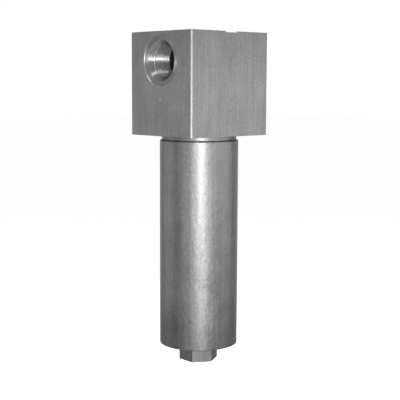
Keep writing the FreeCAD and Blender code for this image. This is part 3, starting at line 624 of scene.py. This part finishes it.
def torus(name, radius, section, z):
    """A round ring about Z, in millimetres."""
    around, across = RING_FACETS, RING_SECTION_FACETS
    points = []
    for i in range(around):
        a = 2 * math.pi * i / around
        for j in range(across):
            b = 2 * math.pi * j / across
            r = radius + section / 2 * math.cos(b)
            points.append((r * math.cos(a), r * math.sin(a), z + section / 2 * math.sin(b)))
    faces = []
    for i in range(around):
        for j in range(across):
            k, m = (i + 1) % around, (j + 1) % across
            faces.append((i * across + j, k * across + j, k * across + m, i * across + m))
    return crisp(new_object(name, mesh_from(name, points, faces)))


def o_ring_over(node, name, material, body):
    """A smooth O-ring in the place of its eight-sided solid."""
    low, high = (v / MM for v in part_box(node))
    section = high.z - low.z
    ring = torus(name, high.x - section / 2, section, (low.z + high.z) / 2)
    ring.data.materials.append(material)
    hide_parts(node)
    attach(ring, body)


def round_fold(middle, radius, outward, turn):
    """Half a turn of the folded sheet's middle line, bulging away from the core or towards it."""
    points = []
    for a in arc(180, 6):
        x = middle + outward * radius * math.sin(a)
        y = -radius * math.cos(a)
        points.append((x * math.cos(turn) - y * math.sin(turn), x * math.sin(turn) + y * math.cos(turn)))
    return points


def rounded_fold_path():
    """The middle line of the folded sheet round the core, a closed list of (x, y) with straight walls."""
    outer = PLEAT_OUTER_RADIUS - PLEAT_SHEET / 2 - PLEAT_TIP_RADIUS
    inner = PLEAT_INNER_RADIUS + PLEAT_SHEET / 2 + PLEAT_ROOT_RADIUS
    points = []
    for i in range(PLEATS):
        fold = 2 * math.pi * i / PLEATS
        points += round_fold(outer, PLEAT_TIP_RADIUS, 1, fold)
        points += round_fold(inner, PLEAT_ROOT_RADIUS, -1, fold + math.pi / PLEATS)
    return points


def offset_path(path, offset):
    """A closed path moved sideways, outwards for a positive offset."""
    moved = []
    for i, (x, y) in enumerate(path):
        px, py = path[i - 1]
        nx, ny = path[(i + 1) % len(path)]
        tx, ty = nx - px, ny - py
        length = math.hypot(tx, ty)
        moved.append((x + ty / length * offset, y - tx / length * offset))
    return moved


def make_pleats(material):
    """The pleated sheet with round folds, cap to cap."""
    path = rounded_fold_path()
    count = len(path)
    points = []
    for offset in (PLEAT_SHEET / 2, -PLEAT_SHEET / 2):
        for z in (PLEAT_BOTTOM_Z, PLEAT_TOP_Z):
            points += [(x, y, z) for x, y in offset_path(path, offset)]
    faces = []
    out_low, out_high, in_low, in_high = (k * count for k in range(4))
    for i in range(count):
        j = (i + 1) % count
        faces.append((out_low + i, out_low + j, out_high + j, out_high + i))
        faces.append((in_low + i, in_high + i, in_high + j, in_low + j))
        faces.append((out_low + i, in_low + i, in_low + j, out_low + j))
        faces.append((out_high + i, out_high + j, in_high + j, in_high + i))
    pleats = crisp(new_object("folded_media", mesh_from("folded_media", points, faces)), 50.0)
    pleats.data.materials.append(material)
    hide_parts("pleated_media")
    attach(pleats, "head")


def make_spring(material):
    """The valve's coil spring at its rest length, with a mesh of its own. Nothing here shortens it as the
    poppet lifts.
    """
    around, across = COIL_FACETS, WIRE_FACETS
    steps = SPRING_TURNS * around
    room = SPRING_TOP_Z - SPRING_BOTTOM_Z
    z_low = SPRING_BOTTOM_Z + SPRING_WIRE_RADIUS
    rise = room - 2 * SPRING_WIRE_RADIUS
    points = []
    for i in range(steps + 1):
        a = 2 * math.pi * i / around
        for j in range(across):
            b = 2 * math.pi * j / across
            r = SPRING_RADIUS + SPRING_WIRE_RADIUS * math.cos(b)
            z = z_low + rise * i / steps + SPRING_WIRE_RADIUS * math.sin(b)
            points.append((r * math.cos(a), r * math.sin(a), z))
    faces = []
    for i in range(steps):
        for j in range(across):
            m = (j + 1) % across
            faces.append((i * across + j, (i + 1) * across + j, (i + 1) * across + m, i * across + m))
    faces += [tuple(range(across)), tuple(reversed(range(steps * across, (steps + 1) * across)))]
    spring = crisp(new_object("coil_spring", mesh_from("coil_spring", points, faces)), 50.0)
    spring.data.materials.append(material)
    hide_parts("bypass_spring")
    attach(spring, "head")
    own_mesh(spring)


class Nodes:
    """A small helper for building a node tree. Values may be sockets or numbers."""

    def __init__(self, tree):
        self.tree = tree

    def add(self, kind, inputs=None, **settings):
        """A new node with its inputs joined or set, and its settings."""
        node = self.tree.nodes.new(kind)
        for key, value in settings.items():
            setattr(node, key, value)
        for key, value in (inputs or {}).items():
            if isinstance(value, bpy.types.NodeSocket):
                self.tree.links.new(value, node.inputs[key])
            else:
                node.inputs[key].default_value = value
        return node

    def math(self, operation, first, second=0.0):
        return self.add("ShaderNodeMath", {0: first, 1: second}, operation=operation).outputs[0]

    def times(self, first, second):
        return self.math("MULTIPLY", first, second)

    def vector(self, x=0.0, y=0.0, z=0.0):
        return self.add("ShaderNodeCombineXYZ", {"X": x, "Y": y, "Z": z}).outputs[0]

    def length(self, vector):
        return self.add("ShaderNodeVectorMath", {0: vector}, operation="LENGTH").outputs["Value"]

    def span(self, value, low, high, out_low, out_high):
        """Moves a value evenly from out_low to out_high while it goes from low to high."""
        return self.add("ShaderNodeMapRange", {
            "Value": value, "From Min": low, "From Max": high,
            "To Min": out_low, "To Max": out_high}).outputs["Result"]

    def mask(self, value, start, full):
        """0 before start and 1 after full, both in millimetres."""
        return self.span(value, start * MM, full * MM, 0.0, 1.0)

    def choose(self, mask, outside, inside):
        """One value where the mask is 0 and another where it is 1."""
        return self.span(mask, 0.0, 1.0, outside, inside)

    def varied(self, noise, low, high):
        """A noise's usual range, spread from low to high."""
        return self.span(noise, 0.3, 0.7, low, high)

    def place(self):
        return self.add("ShaderNodeTexCoord").outputs["Object"]

    def place_parts(self):
        """The sockets of a point's place: X, Y and Z in metres."""
        parts = self.add("ShaderNodeSeparateXYZ", {"Vector": self.place()}).outputs
        return parts["X"], parts["Y"], parts["Z"]

    def noise(self, scale, detail=3.0, roughness=0.6, distortion=0.0):
        """Noise over the place, with a scale for each axis."""
        vector = self.add("ShaderNodeMapping", {"Vector": self.place(), "Scale": scale}).outputs["Vector"]
        return self.add("ShaderNodeTexNoise", {
            "Vector": vector, "Scale": 1.0, "Detail": detail,
            "Roughness": roughness, "Distortion": distortion}).outputs["Fac"]

    def bump(self, height, strength, distance, over=None):
        """A bumped normal, over an earlier one if given."""
        inputs = {"Height": height, "Strength": strength, "Distance": distance}
        if over is not None:
            inputs["Normal"] = over
        return self.add("ShaderNodeBump", inputs).outputs["Normal"]

    def seen_or_reflected(self):
        """1 for rays from the camera and for reflected and refracted ones, 0 for the light on things."""
        path = self.add("ShaderNodeLightPath").outputs
        seen = self.math("MAXIMUM", path["Is Camera Ray"], path["Is Glossy Ray"])
        return self.math("MAXIMUM", seen, path["Is Transmission Ray"])


class Surface(Nodes):
    """The node tree of a new material."""

    def __init__(self, name):
        self.material = bpy.data.materials.new(name)
        self.material.use_nodes = True
        super().__init__(self.material.node_tree)
        self.tree.nodes.clear()
        self.output = self.add("ShaderNodeOutputMaterial")

    def tinted(self, color, factor):
        """A colour times a factor.
        The mix node has sockets of equal names, so their identifiers tell them apart."""
        mix = self.add("ShaderNodeMix", data_type="RGBA", blend_type="MULTIPLY")
        sockets = {socket.identifier: socket for socket in mix.inputs}
        sockets["Factor_Float"].default_value = 1.0
        sockets["A_Color"].default_value = (*color, 1.0)
        self.tree.links.new(factor, sockets["B_Color"])
        return next(socket for socket in mix.outputs if socket.identifier == "Result_Color")

    def finish(self, **inputs):
        """Ends the tree in a principled shader and gives the material."""
        shader = self.add("ShaderNodeBsdfPrincipled", {k.replace("_", " "): v for k, v in inputs.items()})
        self.tree.links.new(shader.outputs["BSDF"], self.output.inputs["Surface"])
        return self.material


def machined_steel(n, shade, roughness, streaks, streak_share, mottle, tooth_share, bump, edge_tint, **more):
    """Machined stainless steel: streaks along the grain, mottling and a fine tooth.
    streaks is the noise's scale for each axis, and the shares say how much each pattern changes the shade.
    more may hold wave, a depth in millimetres, and any further input of the shader."""
    fine = n.noise(streaks)
    cloud = n.noise((46.0, 46.0, 30.0), 4.0)
    tooth = n.noise((620.0, 620.0, 420.0), 2.0)
    change = n.times(
        n.varied(fine, 1.0 - streak_share, 1.0 + streak_share), n.varied(cloud, 1.0 - mottle, 1.0 + mottle))
    change = n.times(change, n.varied(tooth, 1.0 - tooth_share, 1.0 + tooth_share))
    normal = n.bump(n.math("ADD", fine, n.times(tooth, 0.8)), bump, 0.04 * MM)
    mottle_in_roughness = 0.8 * mottle
    wave = more.pop("wave", 0.0)
    if wave:
        normal = n.bump(n.noise((150.0, 150.0, 110.0), distortion=0.6), 1.0, wave * MM, normal)
    return n.finish(
        Base_Color=n.tinted((1.0, 1.0, 0.99), n.times(change, shade)), Metallic=1.0,
        Roughness=n.times(n.varied(cloud, 1.0 - mottle_in_roughness, 1.0 + mottle_in_roughness), roughness),
        Specular_Tint=(edge_tint, edge_tint, edge_tint, 1.0), Normal=normal, **more)


def head_zones(n, x, y, z):
    """Masks of the head's zones, each 1 inside its zone and 0 outside, with a narrow soft border.
    The passage, the lip and the cone are told apart by how far along X they stand."""
    half, spotface = HEAD_LENGTH / 2, PORT_SPOTFACE_RADIUS
    far_x = n.math("ABSOLUTE", x)
    outside_x = n.math("SUBTRACT", far_x, half * MM)
    outside_y = n.math("SUBTRACT", n.math("ABSOLUTE", y), HEAD_WIDTH / 2 * MM)
    above = n.math("ADD", z, (TOP_RECESS_DEPTH + 0.2) * MM)
    below = n.math("SUBTRACT", -HEAD_HEIGHT * MM, z)
    depth = n.math("MAXIMUM", n.math("MAXIMUM", outside_x, outside_y), n.math("MAXIMUM", above, below))
    from_port = n.length(n.vector(0.0, y, n.math("SUBTRACT", z, PORT_Z * MM)))
    port = n.mask(from_port, spotface + 1.2, spotface + 1.0)
    shallow = n.times(port, n.mask(depth, -0.03, -0.1))
    rim = n.times(shallow, n.mask(from_port, spotface - 0.15, spotface))
    ring = n.math("SUBTRACT", n.times(shallow, n.mask(far_x, half - 0.9, half - 0.7)), rim)
    from_mark = n.add("ShaderNodeVectorMath", {
        0: n.vector(x, y, z), 1: (-half * MM, 0.0, PUNCH_MARK_Z * MM)}, operation="DISTANCE").outputs["Value"]
    cone_start = half + PORT_CONE_BOTTOM_Z
    return {
        "cut": n.mask(depth, -0.4, -1.2),
        "port": port,
        "rim": rim,
        "ring": ring,
        "mark": n.mask(from_mark, PUNCH_MARK_RADIUS + 0.3, PUNCH_MARK_RADIUS - 0.9),
        "passage": n.mask(far_x, half - PORT_THREAD_END + 0.3, half - PORT_THREAD_END - 0.1),
        "lip": n.mask(far_x, cone_start - 0.85, cone_start - 0.55),
        "cone": n.mask(far_x, cone_start + 0.05, cone_start + 0.35)}


def by_zone(n, zones, value):
    """One value over the whole head, from its value in each zone."""
    outer = value["face"]
    for zone in ("mark", "ring", "rim"):
        outer = n.choose(zones[zone], outer, value[zone])
    inner = value["thread"]
    for zone in ("passage", "lip", "cone"):
        inner = n.choose(zones[zone], inner, value[zone])
    return n.choose(zones["cut"], outer, n.choose(zones["port"], value["cut"], inner))


def head_steel_material():
    """Ground faces with an upright grain, lighter cut surfaces in the ports and bores (partly freshly cut
    metal, partly painted light in the recesses), and dull passages darkened as painted shade. Painted
    highlights lighten the port rims and lips, painted reflection the punch mark, painted light the cone's
    top, and painted shade the head's upper half.
    """
    n = Surface("ground_steel")
    x, y, z = n.place_parts()
    zones = head_zones(n, x, y, z)
    shades, roughnesses, grains = ({zone: HEAD_FINISH[zone][k] for zone in HEAD_FINISH} for k in range(3))
    # Painted light: the cone grows lighter toward its top.
    shades["cone"] = n.span(
        z, (PORT_Z + 6.0) * MM, (PORT_Z + 17.0) * MM, shades["cone"], CONE_TOP_PAINTED_LIGHT * shades["cone"])
    # Painted shade: the whole head darkens toward its top.
    shade = n.times(by_zone(n, zones, shades), n.span(z, -HEAD_HEIGHT / 2 * MM, 0.0, 1.0, HEAD_TOP_PAINTED_SHADE))

    # The grain runs along the port's axis inside the port, and away from the axis on the flat ring
    ring = zones["ring"]
    grain_direction = n.vector(
        n.choose(ring, 1.0, 0.0), n.times(y, ring), n.times(n.math("SUBTRACT", z, PORT_Z * MM), ring))
    return machined_steel(
        n, shade, by_zone(n, zones, roughnesses), streaks=(900.0, 900.0, 16.0),
        streak_share=0.13, mottle=0.16, tooth_share=0.16, bump=0.2, edge_tint=0.45,
        Anisotropic=by_zone(n, zones, grains), Tangent=grain_direction)


def bowl_steel_material():
    """Turned faces, a shoulder lightened as painted light where it mirrors the dark underside of the head, a
    lighter thread and bore, a milled hexagon, and a foot darkened as painted shade.
    """
    n = Surface("turned_steel")
    x, y, z = n.place_parts()
    shoulder = n.mask(z, NECK_BOTTOM_Z - 0.9, NECK_BOTTOM_Z - 0.5)
    neck = n.mask(z, NECK_BOTTOM_Z - 0.1, NECK_BOTTOM_Z + 0.1)
    collar = n.math("SUBTRACT", shoulder, neck)
    thread = n.mask(z, MOUTH_Z - 0.1, MOUTH_Z + 0.1)
    bore = n.times(
        n.mask(n.length(n.vector(x, y)), BORE_RADIUS + 1.0, BORE_RADIUS + 0.5),
        n.mask(z, BOWL_FLOOR_Z - 8.0, BOWL_FLOOR_Z - 7.0))
    hexagon = n.mask(z, BOWL_BOTTOM_Z, BOWL_BOTTOM_Z - 0.2)
    shade = n.choose(n.math("MAXIMUM", thread, bore), BOWL_SHADE, BOWL_CUT_SHADE)
    shade = n.choose(hexagon, shade, HEX_SHADE)
    # Painted light: the shoulder's collar is lightened, and with it a thin ring inside the bore.
    shade = n.math("ADD", shade, n.times(collar, SHOULDER_PAINTED_LIGHT - BOWL_SHADE))
    # Painted shade: the bowl darkens toward its foot.
    foot = n.mask(z, BOWL_FOOT_START_Z, BOWL_FOOT_FULL_Z)
    shade = n.times(shade, n.choose(foot, 1.0, BOWL_FOOT_PAINTED_SHADE / BOWL_SHADE))
    return machined_steel(
        n, shade, n.choose(hexagon, BOWL_ROUGHNESS, HEX_ROUGHNESS), streaks=(260.0, 260.0, 14.0),
        streak_share=0.10, mottle=0.18, tooth_share=0.16, bump=0.22, edge_tint=0.7, wave=BOWL_WAVE,
        Anisotropic=BOWL_GRAIN, Tangent=n.vector(z=1.0))


def plain_steel(name, shade, roughness):
    """Small turned and pressed steel pieces."""
    return machined_steel(
        Surface(name), shade, roughness, streaks=(420.0, 420.0, 420.0), streak_share=0.04, mottle=0.04,
        tooth_share=0.045, bump=0.15, edge_tint=0.6)


def rubber(name):
    """Matt black rubber with a faint bloom."""
    n = Surface(name)
    speck = n.noise((900.0, 900.0, 900.0))
    return n.finish(
        Base_Color=n.tinted((0.022, 0.022, 0.023), n.varied(speck, 0.8, 1.3)),
        Roughness=n.varied(speck, 0.5, 0.7), Specular_IOR_Level=0.4, Normal=n.bump(speck, 0.2, 0.03 * MM))


def waxy_plastic(name):
    """White waxy plastic."""
    n = Surface(name)
    cloud = n.noise((260.0, 260.0, 260.0))
    return n.finish(
        Base_Color=n.tinted((0.80, 0.80, 0.77), n.varied(cloud, 0.94, 1.04)),
        Roughness=n.varied(cloud, 0.32, 0.45), Specular_IOR_Level=0.45, Normal=n.bump(cloud, 0.15, 0.03 * MM))


def copper_alloy(name):
    """A soft washer of copper alloy."""
    n = Surface(name)
    cloud = n.noise((420.0, 420.0, 420.0))
    return n.finish(
        Base_Color=n.tinted((0.62, 0.33, 0.19), n.varied(cloud, 0.88, 1.08)),
        Metallic=1.0, Roughness=n.varied(cloud, 0.28, 0.42), Normal=n.bump(cloud, 0.15, 0.03 * MM))


def woven_media(name):
    """The pleated sheet: glass fibre behind a fine woven wire backing."""
    n = Surface(name)
    radians_per_metre = 5200.0
    along = n.times(n.place_parts()[2], radians_per_metre)
    across = n.times(n.length(n.place()), radians_per_metre)
    weave = n.times(n.math("SINE", along), n.math("SINE", across))
    cloud = n.noise((160.0, 160.0, 160.0))
    shade = n.times(n.span(weave, -1.0, 1.0, 0.88, 1.06), n.varied(cloud, 0.94, 1.04))
    return n.finish(
        Base_Color=n.tinted((0.74, 0.72, 0.64), shade), Roughness=n.span(weave, -1.0, 1.0, 0.85, 0.6),
        Specular_IOR_Level=0.3, Normal=n.bump(weave, 0.5, 0.05 * MM))


def make_world():
    """A surround that looks white and is dimmer as light on the object."""
    world = bpy.data.worlds.new("studio")
    world.use_nodes = True
    bpy.context.scene.world = world
    n = Nodes(world.node_tree)
    background = next(node for node in n.tree.nodes if node.type == "BACKGROUND")
    background.inputs["Color"].default_value = (1.0, 1.0, 1.0, 1.0)
    n.tree.links.new(n.choose(n.seen_or_reflected(), WORLD_LIGHT, 1.0), background.inputs["Strength"])


def floor_material():
    """Pale and matt, with a glow in the camera's rays, and in reflections well away from the object."""
    n = Surface("pale_floor")
    patch = n.noise((3.0, 3.0, 3.0), 2.0, 0.5)
    color = n.tinted((0.92, 0.92, 0.92), n.varied(patch, 0.99, 1.01))
    diffuse = n.add("ShaderNodeBsdfDiffuse", {"Color": color})
    camera = n.add("ShaderNodeLightPath").outputs["Is Camera Ray"]
    far = n.span(n.length(n.place()), FLOOR_GLOW_START, FLOOR_GLOW_FULL, 0.0, 1.0)
    share = n.times(n.times(n.seen_or_reflected(), n.math("MAXIMUM", far, camera)), FLOOR_GLOW)
    glow = n.add("ShaderNodeEmission", {"Color": (1.0, 1.0, 1.0, 1.0), "Strength": share})
    both = n.add("ShaderNodeAddShader", {0: diffuse.outputs[0], 1: glow.outputs[0]})
    n.tree.links.new(both.outputs[0], n.output.inputs["Surface"])
    return n.material


def make_floor():
    """A plain pale floor that keeps the shadow and meets the white surround."""
    half = FLOOR_SIZE / 2
    mesh = bpy.data.meshes.new("floor")
    mesh.from_pydata(
        [(-half, -half, FLOOR_Z), (half, -half, FLOOR_Z), (half, half, FLOOR_Z), (-half, half, FLOOR_Z)], [],
        [(0, 1, 2, 3)])
    floor = new_object("floor", mesh)
    mesh.materials.append(floor_material())


def area_light(name, place, target, width, height, radiance):
    """A softbox aimed at a point. radiance is how bright its face looks, where 1 is white."""
    data = bpy.data.lights.new(name, "AREA")
    data.shape = "RECTANGLE"
    data.size = width
    data.size_y = height
    data.energy = radiance * math.pi * width * height
    light = new_object(name, data)
    light.location = place
    light.rotation_euler = (target - place).to_track_quat("-Z", "Y").to_euler()


def make_camera():
    """The photograph's viewpoint: azimuth, pitch and a slight roll."""
    azimuth, pitch, roll = (math.radians(v) for v in (CAMERA_AZIMUTH, CAMERA_PITCH, CAMERA_ROLL))
    back = Vector((
        math.sin(azimuth) * math.cos(pitch), -math.cos(azimuth) * math.cos(pitch), math.sin(pitch)))
    right = Vector((math.cos(azimuth), math.sin(azimuth), 0.0))
    up = back.cross(right)
    rolled_right = right * math.cos(roll) + up * math.sin(roll)
    rolled_up = up * math.cos(roll) - right * math.sin(roll)
    turn = Matrix((rolled_right, rolled_up, back)).transposed()
    data = bpy.data.cameras.new("camera")
    data.sensor_width = SENSOR_WIDTH
    data.lens = SENSOR_WIDTH * CAMERA_FOCAL_SHARE
    data.clip_end = CLIP_END
    camera = new_object("camera", data)
    camera.matrix_world = Matrix.Translation(CAMERA_PLACE) @ turn.to_4x4()
    bpy.context.scene.camera = camera


def toward(turn, distance, drop):
    """A place round the object, with turn in degrees right of the camera and drop in degrees below level."""
    a = math.radians(CAMERA_AZIMUTH + turn)
    level = Vector((math.sin(a), -math.cos(a), 0.0))
    return level * distance + Vector((0.0, 0.0, LIGHT_TARGET_Z - distance * math.tan(math.radians(drop))))


def make_lights():
    """The softboxes: in front a key light between two weaker ones, others round it, and one behind."""
    target = Vector((0.0, 0.0, LIGHT_TARGET_Z))
    for name, turn, distance, drop, width, height, radiance in LIGHTS:
        area_light(name, toward(turn, distance, drop), target, width, height, radiance)


def make_materials():
    """The part's materials by the names of its slots."""
    return {
        "head_steel": head_steel_material(),
        "bowl_steel": bowl_steel_material(),
        "plug_steel": plain_steel("plug_steel", 0.20, 0.28),
        "inner_steel": plain_steel("inner_steel", 0.34, 0.25),
        "seal_rubber": rubber("black_rubber"),
        "backup_plastic": waxy_plastic("white_plastic"),
        "washer_brass": copper_alloy("soft_washer"),
        "media": woven_media("woven_media")}


make_camera()
make_world()
make_floor()
make_lights()

materials = make_materials()
for part in frame["record"]["subparts"]:
    node = frame["nodes"][part["node"]]
    node.data.materials.clear()
    node.data.materials.append(materials[part["material_slot"]])

make_head(materials["head_steel"])
make_bowl(materials["bowl_steel"])
o_ring_over("element_o_ring", "smooth_element_ring", materials["seal_rubber"], "head")
o_ring_over("bowl_o_ring", "smooth_bowl_ring", materials["seal_rubber"], "bowl_drop_carrier")
make_pleats(materials["media"])
make_spring(materials["inner_steel"])

bpy.context.scene.view_settings.view_transform = "Standard"
